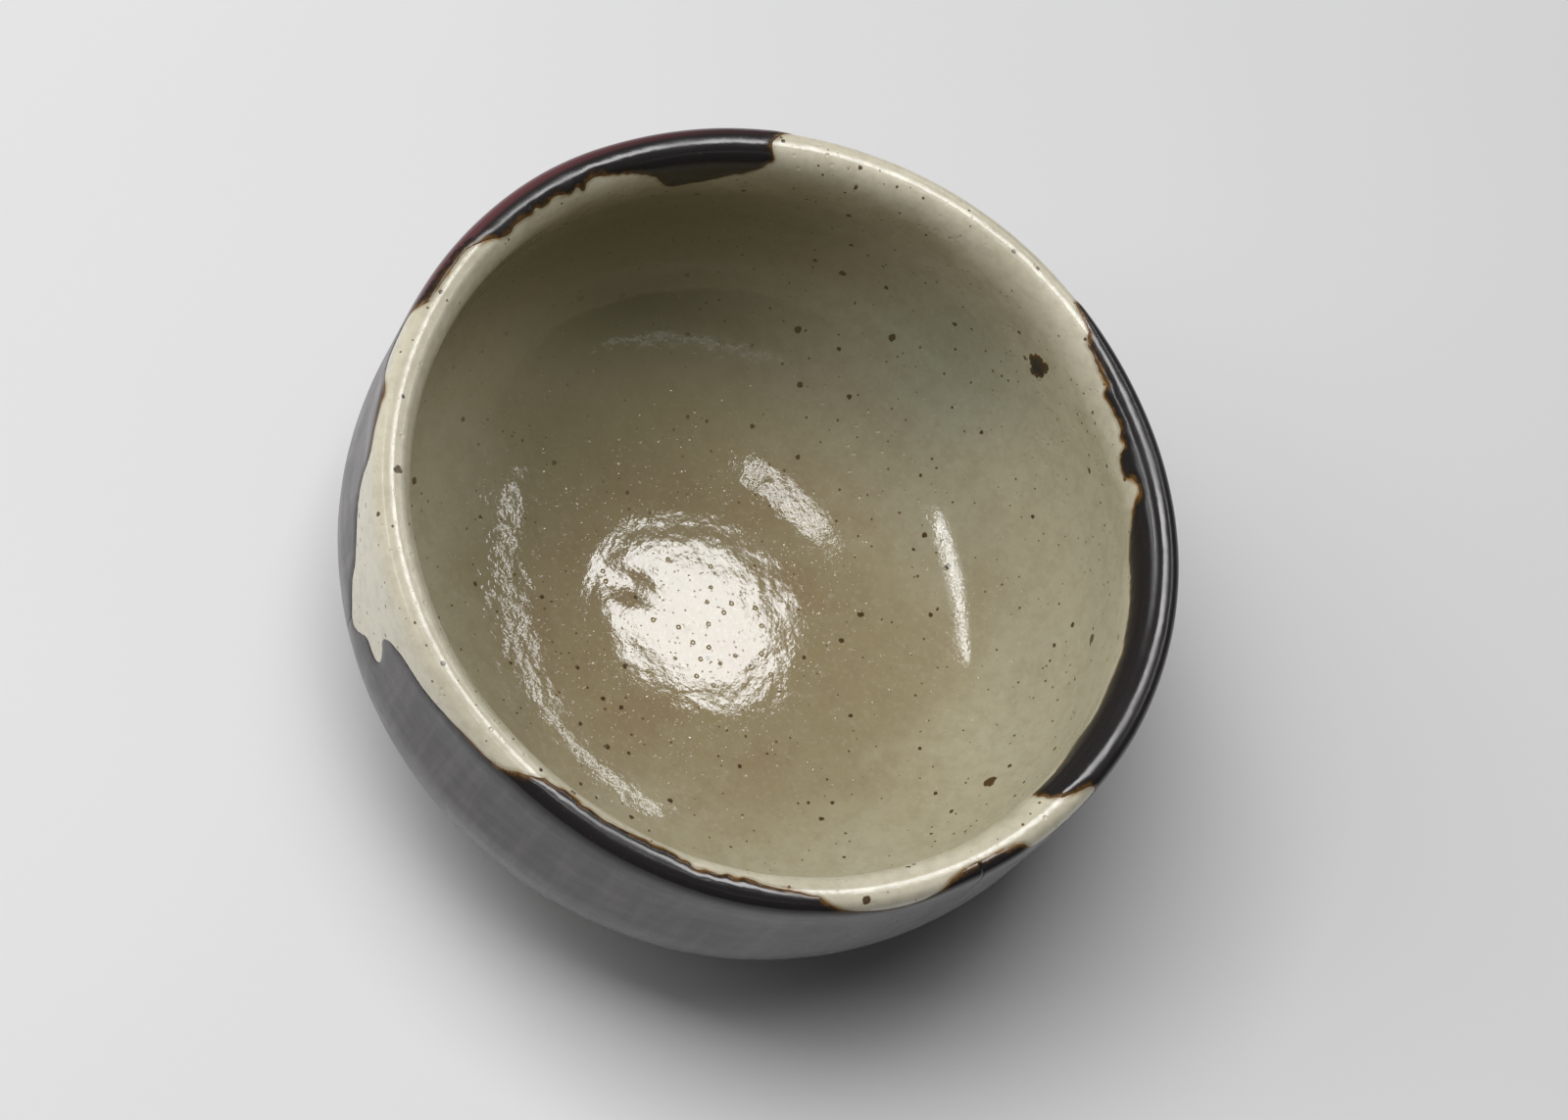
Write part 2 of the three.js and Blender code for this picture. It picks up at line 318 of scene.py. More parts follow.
def noise(tree, coords, millimetres, detail=2.0, roughness=0.5):
    """Noise whose blobs are about that many millimetres across."""
    return node(tree, "TexNoise", Vector=coords, Scale=1 / (millimetres * MM), Detail=detail,
                Roughness=roughness)


def ramp(tree, value, stops):
    """Colour along a list of (place, colour)."""
    made = tree.nodes.new("ShaderNodeValToRGB")
    tree.links.new(value, made.inputs[0])
    for extra in stops[2:]:
        made.color_ramp.elements.new(extra[0])
    for element, (place, colour) in zip(made.color_ramp.elements, stops):
        element.position = place
        element.color = (*colour, 1)
    return made.outputs[0]


def bump(tree, height, millimetres, normal=None):
    """Surface normal raised by a height of 0..1 times that many millimetres."""
    extra = {"Normal": normal} if normal is not None else {}
    return node(tree, "Bump", Height=height, Distance=millimetres * MM, Strength=1.0, **extra)


def bare_stoneware():
    """Fired iron-bearing clay: warm brown, sandy, with dark grains and the pale bloom of the kiln."""
    material, tree, shader, coords = new_material("bare_stoneware")
    tone = ramp(tree, noise(tree, coords, 9, 5, 0.6), [
        (0.3, (0.15, 0.085, 0.05)), (0.5, (0.23, 0.14, 0.088)), (0.72, (0.33, 0.225, 0.15))])
    sand = noise(tree, coords, 0.7, 3, 0.7)
    tone = blend(tree, spread(tree, sand, 0.35, 0.7, 0.0, 0.55), tone, (0.4, 0.3, 0.21))
    grains = node(tree, "TexVoronoi", Vector=coords, Scale=1 / (1.6 * MM))
    tone = blend(tree, spread(tree, grains, 0.1, 0.2, 0.85, 0.0), tone, (0.03, 0.02, 0.015))
    tree.links.new(tone, shader.inputs["Base Color"])
    tree.links.new(spread(tree, sand, 0.3, 0.7, 0.95, 0.72), shader.inputs["Roughness"])
    height = math_node(tree, "ADD", sand, noise(tree, coords, 2.5, 3))
    tree.links.new(bump(tree, height, 0.12), shader.inputs["Normal"])
    return material


stoneware = bare_stoneware()
body.data.materials.append(stoneware)
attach(body, "root")
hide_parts("clay_body")


# ---------------------------------------------------------------------------------------------------------
# The foot ring. The same clay, luted under the body with slip while leather hard, smoothed into it at the
# root, and trimmed flat so that the bowl stands true. Its edges are worn round.
FOOT_RADIUS = 26.0
FOOT_WALL = 5.0
FOOT_FLARE = 1.0
FOOT_FILLET = 1.4
FOOT_ROUND = 0.9


def arc(centre, radius, start, end, steps=9):
    """Points on an arc between two directions in degrees."""
    turn = np.radians(np.linspace(start, end, steps))
    return np.array(centre) + radius * np.stack([np.cos(turn), np.sin(turn)], -1)


def foot_rows():
    """The ring's closed profile, turned: ground, rounded outer edge, flared side, fillet, hidden top, fillet,
    inner side."""
    inner, root = FOOT_RADIUS - FOOT_WALL, FOOT_RADIUS - FOOT_FLARE
    top, top_in = (underside(np.array(r)) - CLAY_LIFT for r in (root + FOOT_FILLET, inner - FOOT_FILLET))
    profile = np.concatenate([
        arc((FOOT_RADIUS - FOOT_ROUND, FOOT_ROUND), FOOT_ROUND, -90, 5),
        [(root + 0.3, top - FOOT_FILLET * 1.6)],
        arc((root + FOOT_FILLET, top - FOOT_FILLET), FOOT_FILLET, 180, 92),
        [(root, top + 0.15), (inner, top_in + 0.15)],
        arc((inner - FOOT_FILLET, top_in - FOOT_FILLET), FOOT_FILLET, 88, 0),
        arc((inner + FOOT_ROUND, FOOT_ROUND), FOOT_ROUND, 175, 270),
    ])
    line = np.vstack([profile, profile[:1]])
    length = np.r_[0, np.cumsum(np.hypot(*np.diff(line, axis=0).T))]
    even = np.linspace(0, length[-1], 110, endpoint=False)
    r, z = (np.interp(even, length, line[:, k])[:, None] for k in (0, 1))
    place = np.concatenate([r[..., None] * np.stack([np.cos(azimuths), np.sin(azimuths)], -1),
                            np.broadcast_to(z[..., None], (len(even), TURNS, 1))], -1)
    rough = 0.07 * grain(place, 4, 5) + 0.06 * np.cos(2 * np.pi * z / 2.2 + azimuths)
    rough = rough * np.clip(z / 2, 0, 1)
    scale = 1 + np.where(r > (inner + root) / 2, rough, -rough) / np.maximum(r, 1)
    place[..., :2] *= scale[..., None]
    return place


rows = foot_rows()
foot = make_piece("foot_ring_luted", rows.reshape(-1, 3), turned_faces(len(rows), TURNS, True))
foot.data.materials.append(stoneware)
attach(foot, "root")
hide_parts("foot_ring")


# ---------------------------------------------------------------------------------------------------------
# Where the black stops. Three dips leave pale windows under the lip and reach inside in crescents. The edge
# of all three is one line round the bowl, in degrees and way; each dip owns the stretch between two seams.
BLACK_END = 36.0  # radius where the black glaze stops
SEAMS = {"black_dip_back": (98, 231), "black_dip_front": (231, 334), "black_dip_right": (334, 458)}
BLACK_EDGE = [
    # window behind the right dip, hidden from the front
    (71.2, 0), (73.2, 0.5), (75.6, 1.2), (77, 5.5), (84, 12), (91, 19), (98, 24), (104, 19.5), (110, 12.5),
    (116, 6.5), (121, 4), (124.5, 2.6),
    # straight cut over the lip, then the back dip's crescent
    (126.8, 0.8), (127.8, -0.4), (127.6, -1.6), (127.6, -3.3), (129.6, -4.8), (134.8, -7.7), (139.8, -9.8),
    (143, -9.7), (145, -7), (146.4, -5.4), (149, -4), (152.5, -3), (155.2, -2.3), (157, -1.6), (158.5, -2.3),
    (159.2, -3.4), (160.4, -2.3), (161.8, -2.9), (163.5, -2.1), (167, -2.1), (171.5, -2), (175, -2.1),
    (176.8, -1.2), (178.8, -0.3), (181, 0.5), (185.8, 0.6), (190.8, 0.7), (192.3, 1.7), (193.3, 2.9),
    # window on the left, with a tongue of the front dip in it
    (195, 5.5), (198.5, 7), (202, 5), (204.8, 2.9), (206.5, 2.4), (209, 2.9), (211.5, 3.6), (214.2, 4.6),
    (215.5, 6.7), (216.5, 9.5), (218.8, 12), (223.2, 14.5), (225.8, 16.7), (227, 19.4), (229.5, 22.3),
    (231.5, 24.6), (233.5, 23), (235.6, 19.8), (238.4, 19.5), (239.8, 18), (239.2, 15.5), (238.2, 13.3),
    (238.8, 11), (240.5, 9.2), (243, 7.8), (247.5, 6.8), (250.5, 5.7), (255.5, 3.9), (260, 3.2), (262.5, 2.5),
    (264.3, 1.3),
    # front dip, which only just crosses the lip
    (265.6, 0.6), (267.2, -0.4), (268.8, -1.1), (273.5, -1.5), (278, -1.5), (282.5, -1.8), (287, -2),
    (290, -1.5), (292.5, -0.7), (296.2, -1.1), (300, -1.2), (304.2, -0.8), (307.5, -0.3),
    # two low windows at the front right, parted by a notch of black
    (309.8, 0.2), (310.8, 1), (312.8, 2.1), (315, 2.8), (318.2, 3.6), (321.5, 4), (324.5, 3.7), (327.2, 2.6),
    (329, 1.4), (331, 0.7), (333, 0.4), (336.2, 0.5), (339.5, 0.8), (341.2, 1.5), (342.6, 3.2), (345, 5.5),
    (349, 6.8), (353.5, 5.5), (355.4, 3.2),
    # cut over the lip, then the right dip's crescent
    (355, 1.5), (352.5, 0.5), (350, -0.5), (348.8, -1.9), (348.4, -3.8), (348.6, -5.1), (352.2, -5),
    (357.2, -5.8), (361.8, -7.3), (366.5, -6.1), (372.5, -6.6), (378, -6.1), (383.8, -6.9), (389, -6.7),
    (394, -7.5), (398, -6.9), (400.2, -6), (402.8, -4.7), (404.4, -3.3), (406.2, -3.1), (407.5, -4.1),
    (409, -5.4), (410.8, -5.1), (412.3, -3.7), (414, -3.4), (416, -2.8), (418.8, -3.3), (421.5, -2.8),
    (422.6, -1.9), (426, -1.7), (428.8, -1.5), (430.2, -0.8),
]
DEGREE = math.radians(1) * SIDE_RADIUS  # one degree of the wall, mm


def inside_black(azimuth, way):
    """Signed distance in mm to the black edge, roughened by noise. It is positive in the black, where an odd
    number of the closed line's segments lie at a lesser way than the point."""
    line = smooth_through([(a + 360 * k, w) for k in (-1, 0) for a, w in BLACK_EDGE], 3)
    a, b = line[:-1] * (DEGREE, 1), line[1:] * (DEGREE, 1)
    point = np.stack(np.broadcast_arrays(np.degrees(azimuth) % 360 * DEGREE, way), -1).reshape(-1, 2)
    flat = []  # filled part by part, to bound the memory
    for part in np.array_split(point, max(1, len(point) // 20000)):
        p = part[:, None]
        along = np.clip(((p - a) * (b - a)).sum(-1) / ((b - a)**2).sum(-1), 0, 1)
        nearest = np.hypot(*np.moveaxis(a + along[..., None] * (b - a) - p, -1, 0)).min(-1)
        spans = (a[:, 0] <= p[..., 0]) != (b[:, 0] <= p[..., 0])
        run = np.where(b[:, 0] == a[:, 0], 1, b[:, 0] - a[:, 0])
        across = a[:, 1] + (b[:, 1] - a[:, 1]) * (p[..., 0] - a[:, 0]) / run
        lesser = (spans & (across < p[..., 1])).sum(-1)
        flat.append(np.where(lesser % 2 == 1, nearest, -nearest))
    distance = np.concatenate(flat).reshape(np.broadcast(azimuth, way).shape)
    place = wall(azimuth, way, marks=False)
    ragged = np.clip((0.5 - way) / 2, 0, 1)
    distance = distance + 0.1 * grain(place, 3, 6) + (0.08 + 0.3 * ragged) * grain(place, 1.1, 7)
    last = way_outside(BLACK_END) - way + 0.9 * grain(place, 11, 8) + 0.35 * grain(place, 3, 9)
    return np.minimum(distance, last)


# ---------------------------------------------------------------------------------------------------------
# The ash glaze. A pale wood-ash glaze over a whitish slip, poured inside and dipped outside in one coat:
# cream where it is thin on the lip, grey-green on the wall, browner where it pools, peppered with iron.
GREEN_WALL = ((6, 50, 40), 24)  # places inside the bowl: centre, and how far each fades out
# painted shade: the high back wall inside is darkened in its colour, standing in for the shade it lies in
SHADE_PAINTED_BACK = ((-47, 27, 38), 66)
CALM_RIGHT = ((46, 36, 36), 50)
LIVELY_LEFT = ((-36, -24, 26), 34)
IRON_SHARE = 0.6  # of the cells that hold a speck
IRON_SPECKS = [  # lattice cell, largest radius, colour
    (1.4, 0.26, (0.13, 0.075, 0.025)), (2.9, 0.46, (0.065, 0.035, 0.012)), (6, 0.75, (0.065, 0.034, 0.01)),
    (13, 1.1, (0.065, 0.032, 0.008)),
]
RIPPLES = [(1.3, 0.022), (3, 0.06), (8, 0.1)]  # width, height


def ash_rows():
    """The glaze's face from the middle of the well over the lip to its end, thinned there, and its back."""
    ways = np.r_[np.linspace(FLOOR_WAY, -16, 74)[:-1], np.linspace(-16, -8, 14)[:-1],
                 np.linspace(-8, 5, 66)[:-1], np.linspace(5, END_WAY, 36)]
    back_ways = np.r_[np.linspace(END_WAY, 6, 10), np.linspace(4, -4, 7), np.linspace(-8, FLOOR_WAY, 10)]
    end = END_WAY + 0.8 * waves([(3, 0.7, 20), (5, 0.5, 70), (11, 0.25, 5)], azimuths)
    stretch = np.where(ways[:, None] > 30, (ways[:, None] - 30) / (END_WAY - 30) * (end - END_WAY), 0)
    face_way = ways[:, None] + stretch
    lift = CLAY_LIFT * np.clip(1 - (end - face_way) / 1.2, 0, 1)**2
    face = wall(azimuths, face_way, lift)
    back_way = back_ways[:, None] + np.where(back_ways[:, None] > END_WAY - 0.01, end - END_WAY, 0)
    back = wall(azimuths, back_way, CLAY_LIFT + 0.03)
    return np.concatenate([face, back]), np.concatenate([face_way, back_way])


rows, row_ways = ash_rows()
ash = turned_piece("ash_glaze_coat", rows[::-1], way=row_ways[::-1],
                   from_black=-inside_black(azimuths, row_ways)[::-1])


def iron_specks(tree, coords, tone, cell, size, colour, seed):
    """Ragged specks, up to that radius, in some of the cells of a lattice of that many mm."""
    moved = node(tree, "Mapping", Vector=coords, Location=(seed * 0.0131, seed * 0.0077, seed * 0.0193))
    cells = tree.nodes.new("ShaderNodeTexVoronoi")
    tree.links.new(moved, cells.inputs["Vector"])
    cells.inputs["Scale"].default_value = 1 / (cell * MM)
    chance = node(tree, "SeparateColor", Color=cells.outputs["Color"])
    reach = spread(tree, chance, 1 - IRON_SHARE, 1, 0, size / cell)
    ragged = spread(tree, noise(tree, coords, size, 2), 0.3, 0.7, 0, size / cell * 0.35)
    edge = math_node(tree, "ADD", math_node(tree, "SUBTRACT", cells.outputs["Distance"], reach), ragged)
    mask = spread(tree, edge, 0.0, size / cell * 0.2, 0.95, 0)
    return blend(tree, mask, tone, colour)


def near(tree, coords, centre, radius):
    """1 at a point given in mm, eased to 0 at that many mm from it."""
    gap = node(tree, "VectorMath", out=1, operation="DISTANCE", _0=coords, _1=[c * MM for c in centre])
    return spread(tree, gap, 0.0, radius * MM, 1, 0)


def ash_material():
    """Glaze tone by way, mottled at three sizes, green high on one wall, painted shade on the high back wall,
    with iron specks, and rust beside the black on the lip. Its gloss is pitted, calm at the right, lively at
    left."""
    material, tree, shader, coords = new_material("ash_glaze")
    way = node(tree, "Attribute", out=2, attribute_name="way")
    from_black = node(tree, "Attribute", out=2, attribute_name="from_black")
    cloud = noise(tree, coords, 24, 4, 0.55)
    drift = math_node(tree, "ADD", way, spread(tree, cloud, 0.3, 0.7, -8, 8))
    tone = ramp(tree, spread(tree, drift, -92, 4), [
        (0.0, (0.3, 0.24, 0.135)), (0.25, (0.33, 0.28, 0.17)), (0.5, (0.4, 0.365, 0.25)),
        (0.8, (0.43, 0.405, 0.295)), (0.93, (0.46, 0.43, 0.31)), (1.0, (0.6, 0.56, 0.435))])
    green = math_node(tree, "MULTIPLY", near(tree, coords, *GREEN_WALL), 0.6)
    tone = blend(tree, green, tone, (0.23, 0.26, 0.19))
    brown = spread(tree, noise(tree, coords, 13, 4, 0.6), 0.45, 0.62, 0, 0.5)
    low = spread(tree, way, -75, -45, 1, 0)
    tone = blend(tree, math_node(tree, "MULTIPLY", brown, low), tone, (0.27, 0.185, 0.1))
    mottle = noise(tree, coords, 2.6, 6, 0.7)
    tone = blend(tree, spread(tree, mottle, 0.4, 0.66, 0.0, 0.22), tone, (0.22, 0.175, 0.1))
    pale = noise(tree, coords, 0.9, 3, 0.6)
    tone = blend(tree, spread(tree, pale, 0.5, 0.75, 0.0, 0.22), tone, (0.5, 0.47, 0.37))
    for seed, (cell, size, colour) in enumerate(IRON_SPECKS, 1):
        tone = iron_specks(tree, coords, tone, cell, size, colour, seed)
    # Painted shade: the upper back wall is darkened towards (0.2, 0.18, 0.1), where the light does not reach
    # it.
    painted_shade = math_node(tree, "MULTIPLY", near(tree, coords, *SHADE_PAINTED_BACK), 0.95)
    tone = blend(tree, math_node(tree, "MULTIPLY", painted_shade, spread(tree, way, -9, -16)), tone, (0.2, 0.18, 0.1))
    on_lip = spread(tree, way, 2, 6, 1, 0)
    rust = math_node(tree, "MULTIPLY", spread(tree, from_black, 0, 0.8, 0.5, 0), on_lip)
    tone = blend(tree, rust, tone, (0.16, 0.11, 0.045))
    patches = spread(tree, noise(tree, coords, 5, 3, 0.6), 0.46, 0.6)
    halo = spread(tree, from_black, 0.0, 0.5, 0.85, 0.0)
    amber = math_node(tree, "MULTIPLY", halo, math_node(tree, "MULTIPLY", on_lip, patches))
    tone = blend(tree, amber, tone, (0.24, 0.11, 0.015))
    tree.links.new(tone, shader.inputs["Base Color"])
    ridge = spread(tree, math_node(tree, "ABSOLUTE", way), 2, 6, 0.15, 0)
    rough = math_node(tree, "ADD", spread(tree, mottle, 0.3, 0.7, 0.05, 0.1), ridge)
    tree.links.new(rough, shader.inputs["Roughness"])
    shader.inputs["IOR"].default_value = 1.52
    calm = math_node(tree, "MULTIPLY", near(tree, coords, *CALM_RIGHT), 1.6)
    lively = math_node(tree, "SUBTRACT", 1.0, calm, True)
    left = math_node(tree, "MULTIPLY", near(tree, coords, *LIVELY_LEFT), 2.2)
    lively = math_node(tree, "MULTIPLY", lively, math_node(tree, "ADD", left, 1.0))
    normal = bump(tree, noise(tree, coords, 0.5, 2, 0.6), 0.012)
    for width, height in RIPPLES:
        ripple = math_node(tree, "MULTIPLY", lively, noise(tree, coords, width, 2))
        normal = bump(tree, ripple, height, normal)
    pits = node(tree, "TexVoronoi", Vector=coords, Scale=1 / (2.6 * MM))
    normal = bump(tree, spread(tree, pits, 0.05, 0.17), 0.07, normal)
    fine_pits = node(tree, "TexVoronoi", Vector=coords, Scale=1 / (0.9 * MM))
    normal = bump(tree, spread(tree, fine_pits, 0.03, 0.2), 0.02, normal)
    tree.links.new(normal, shader.inputs["Normal"])
    return material


ash.data.materials.append(ash_material())
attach(ash, "root")
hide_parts("ash_glaze")


# ---------------------------------------------------------------------------------------------------------
# The black dips. An iron-saturated black glaze over the ash glaze, each dip its own coat with a rounded
# edge. It is glassy black where it is thick and breaks to brown, rust and amber where it runs thin.
BLACK_THICKNESS = 0.18
EDGE_LIFT = 0.02  # the edge stands this far off the pale glaze
BACK_DEPTH = 0.15  # the back lies this far inside it
DIP_STEP = 0.45
MAROON_LIP = ((-60, 10, 66), 64)  # centre, and how far it fades out


def clipped_grid(level):
    """Triangles of the part of a grid where level > 0, cut along level 0 by straight interpolation.

    Returns point weights: for each vertex two grid indices and how far it lies from one to the other."""
    index = np.arange(level.size).reshape(level.shape)
    value = level.ravel()
    corners = np.stack([index[:-1, :-1], index[:-1, 1:], index[1:, 1:], index[1:, :-1]], -1).reshape(-1, 4)
    halves = np.concatenate([corners[:, [0, 1, 2]], corners[:, [0, 2, 3]]])
    inside = value[halves] > 0
    count = inside.sum(1)
    whole = halves[count == 3]
    one, two = halves[count == 1], halves[count == 2]
    turn_one, turn_two = inside[count == 1].argmax(1), (~inside[count == 2]).argmax(1)
    one = one[np.arange(len(one))[:, None], (turn_one[:, None] + [0, 1, 2]) % 3]
    two = two[np.arange(len(two))[:, None], (turn_two[:, None] + [0, 1, 2]) % 3]
    size = level.size

    def cut(a, b):
        return np.minimum(a, b) * size + np.maximum(a, b)

    keep = index.ravel() * size + index.ravel()
    triangles = np.concatenate([
        keep[whole],
        np.stack([keep[one[:, 0]], cut(one[:, 0], one[:, 1]), cut(one[:, 0], one[:, 2])], -1),
        np.stack([keep[two[:, 1]], keep[two[:, 2]], cut(two[:, 0], two[:, 2])], -1),
        np.stack([keep[two[:, 1]], cut(two[:, 0], two[:, 2]), cut(two[:, 0], two[:, 1])], -1)])
    used, faces = np.unique(triangles, return_inverse=True)
    low, high = used // size, used % size
    gap = value[low] - value[high]
    share = np.where(low == high, 0, value[low] / np.where(gap == 0, 1, gap))
    return low, high, share, faces.reshape(-1, 3)


def dip_coat(name, first, last):
    """One dip: the wall's grid between two seams clipped to the black, as a closed shell of even thickness
    with a rounded edge. Its edge lies on the pale glaze, and its back just inside it."""
    step = (last - first) / round((last - first) * DEGREE / DIP_STEP)
    azimuth = np.radians(np.arange(first, last + 1e-6, step))
    way = np.r_[np.arange(-14, -5, 0.4), np.arange(-5, 5, 0.22), np.arange(5, 28, 0.5),
                np.arange(28, END_WAY, 0.9)]
    azimuth, way = np.meshgrid(azimuth, way)
    level = inside_black(azimuth, way)
    low, high, share, faces = clipped_grid(level)
    azimuth, way, inward = (grid.ravel()[low] * (1 - share) + grid.ravel()[high] * share
                            for grid in (azimuth, way, level))
    swell = 0.02 * np.exp(-((inward - 1.4) / 0.7)**2)
    rise = BLACK_THICKNESS * (1 - np.exp(-np.maximum(inward, 0) / 0.6)) + swell
    face = wall(azimuth, way, EDGE_LIFT + rise)
    back = wall(azimuth, way, -BACK_DEPTH)
    side = np.concatenate([faces[:, [0, 1]], faces[:, [1, 2]], faces[:, [2, 0]]])
    key = np.sort(side, 1) @ (len(face), 1)
    _, where, times = np.unique(key, return_index=True, return_counts=True)
    rim = side[where[times == 1]]  # the sides that only one triangle has
    count = len(face)
    wall_quads = np.stack([rim[:, 0], rim[:, 1], rim[:, 1] + count, rim[:, 0] + count], -1)
    return make_piece(name + "_coat", np.vstack([face, back]),
                      [faces[:, ::-1], faces + count, wall_quads],
                      from_edge=np.r_[inward, inward], way=np.r_[way, way])


def black_material():
    """Black in depth, breaking to brown, rust and amber at its edges on the lip, maroon outside the lip at
    the back left, and slate grey with fine streaks below the lip outside, partly its own tone and partly a
    painted sheen for the pale table's reflection."""
    material, tree, shader, coords = new_material("black_glaze")
    from_edge = node(tree, "Attribute", out=2, attribute_name="from_edge")
    way = node(tree, "Attribute", out=2, attribute_name="way")
    ragged = noise(tree, coords, 1.6, 4, 0.65)
    on_lip = spread(tree, way, 2, 6, 1, 0)
    depth = math_node(tree, "ADD", from_edge, spread(tree, ragged, 0.3, 0.7, -0.4, 0.25))
    edge_tone = ramp(tree, spread(tree, depth, 0.0, 1.3), [
        (0.0, (0.1, 0.05, 0.014)), (0.2, (0.04, 0.022, 0.01)), (0.45, (0.02, 0.014, 0.01)),
        (0.8, (0.013, 0.012, 0.012))])
    maroon = math_node(tree, "MULTIPLY", near(tree, coords, *MAROON_LIP), spread(tree, way, 0.4, 1.3))
    maroon = math_node(tree, "MULTIPLY", maroon, spread(tree, way, 6, 22, 0.85, 0.25))
    body_tone = blend(tree, maroon, (0.016, 0.014, 0.014), (0.1, 0.036, 0.04))
    long_way = node(tree, "Mapping", Vector=coords, Scale=(1, 1, 0.1))
    streak = noise(tree, long_way, 2.2, 5, 0.6)
    # Lighter grey below the lip outside: partly the glaze's own tone, partly a painted sheen standing in for
    # the pale table's reflection.
    body_tone = blend(tree, spread(tree, way, 3, 9, 0, 0.7), body_tone, (0.038, 0.033, 0.036))
    streaked = spread(tree, streak, 0.4, 0.7, 0.0, 0.6)
    streaked = math_node(tree, "MULTIPLY", streaked, spread(tree, way, 2, 7))
    body_tone = blend(tree, streaked, body_tone, (0.085, 0.072, 0.077))
    share = math_node(tree, "MULTIPLY", on_lip, spread(tree, depth, 0.7, 1.3, 1, 0))
    tone = blend(tree, share, body_tone, edge_tone)
    fleck = noise(tree, coords, 0.5, 2)
    tone = blend(tree, spread(tree, fleck, 0.64, 0.78, 0.0, 0.5), tone, (0.06, 0.045, 0.035))
    tree.links.new(tone, shader.inputs["Base Color"])
    cloud = noise(tree, coords, 14, 4, 0.6)
    rough = spread(tree, cloud, 0.3, 0.7, 0.17, 0.27)
    rough = math_node(tree, "ADD", rough, spread(tree, way, 5, 12, 0, 0.08))
    tree.links.new(rough, shader.inputs["Roughness"])
    shader.inputs["IOR"].default_value = 1.47
    normal = bump(tree, noise(tree, coords, 1.5, 2), 0.02)
    normal = bump(tree, noise(tree, coords, 5, 2), 0.08, normal)
    tree.links.new(normal, shader.inputs["Normal"])
    return material


black = black_material()
for name, seams in SEAMS.items():
    coat = dip_coat(name, *seams)
    coat.data.materials.append(black)
    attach(coat, "root")
    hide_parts(name)


# ---------------------------------------------------------------------------------------------------------
# The splash. A drop of the black glaze that fell inside when the bowl was dipped: a flat, ragged dome.
SPLASH_AZIMUTH = 72.5
SPLASH_WAY = -15.0
SPLASH_SIZE = (1.9, 2.7)  # radius across and along the wall
SPLASH_THICKNESS = 0.22
SPLASH_DEPTH = 0.12  # the back lies this far inside the pale glaze


def splash_drop():
    """A dome over a disc of polar rings, its radius ragged by cosines; its back is just inside the glaze."""
    turn = np.linspace(2 * np.pi, 0, 96, endpoint=False)[None, :]
    ring = np.linspace(0, 1, 16)[:, None]
    ragged = 1 + 0.12 * np.cos(3 * turn + 0.6) + 0.09 * np.cos(5 * turn - 1) + 0.06 * np.cos(9 * turn) \
        + 0.05 * np.cos(14 * turn + 2)
    across = SPLASH_SIZE[0] * ring * ragged * np.cos(turn)
    along = SPLASH_SIZE[1] * ring * ragged * np.sin(turn)
    azimuth = math.radians(SPLASH_AZIMUTH) + across / WELL_RADIUS
    dome = SPLASH_THICKNESS * np.sqrt(np.clip(1 - ring**4, 0, 1)) + 0.01
    face = wall(azimuth, SPLASH_WAY - along, dome)
    back = wall(azimuth, SPLASH_WAY - along, -SPLASH_DEPTH)[-2::-1]
    inward = np.broadcast_to((1 - ring) * 1.5, across.shape)
    edge = np.concatenate([inward, inward[-2::-1]])
    return turned_piece("glaze_splash_drop", np.concatenate([face, back]), from_edge=edge,
                        way=np.full_like(edge, SPLASH_WAY))


splash = splash_drop()
splash.data.materials.append(black)
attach(splash, "root")
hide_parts("glaze_splash")


# ---------------------------------------------------------------------------------------------------------
# The studio: a pale table, a large soft box behind, strip lights at the sides, and the camera.
VIEW_TILT = 28.4  # degrees between the bowl's axis and the line of sight
VIEW_ROLL = 51.07  # degrees from the right to where the bowl's axis points in the view
VIEW_DISTANCE = 600.0
LENS = 94.56
AIM_RIGHT, AIM_UP = -0.8, -8.6  # where the camera aims, from the middle of the lip, mm
MOUTH = np.array([0, 0, 66.0])
LIGHT_DISTANCE = 1.4  # metres from the mouth to every light


def view_axes():
    """Right, up and back of the camera, turned so that the bowl's axis leans to the upper right."""
    tilt, roll = math.radians(VIEW_TILT), math.radians(VIEW_ROLL - 90)
    level, rise = np.array([1, 0, 0]), np.array([0, math.cos(tilt), math.sin(tilt)])
    right = math.cos(roll) * level - math.sin(roll) * rise
    up = math.sin(roll) * level + math.cos(roll) * rise
    return right, up, np.array([0, -math.sin(tilt), math.cos(tilt)])


def add_camera():
    """A long lens above and in front of the bowl, turned so that the bowl leans in the picture."""
    right, up, back = view_axes()
    place = MOUTH + VIEW_DISTANCE * back
    aim = MOUTH + AIM_RIGHT * right + AIM_UP * up
    back = (place - aim) / np.linalg.norm(place - aim)
    right = np.cross(up, back)
    right /= np.linalg.norm(right)
    up = np.cross(back, right)
    camera = bpy.data.objects.new("camera", bpy.data.cameras.new("camera"))
    bpy.context.scene.collection.objects.link(camera)
    camera.data.lens = LENS
    camera.data.clip_start = 0.01
    turn = Matrix(np.stack([right, up, back], -1).tolist()).to_4x4()
    camera.matrix_world = Matrix.Translation(Vector(place * MM)) @ turn
    bpy.context.scene.camera = camera


def towards(azimuth, polar):
    """Unit direction at an azimuth and a polar angle from straight up, in degrees."""
    a, p = math.radians(azimuth), math.radians(polar)
    return np.array([math.sin(p) * math.cos(a), math.sin(p) * math.sin(a), math.cos(p)])


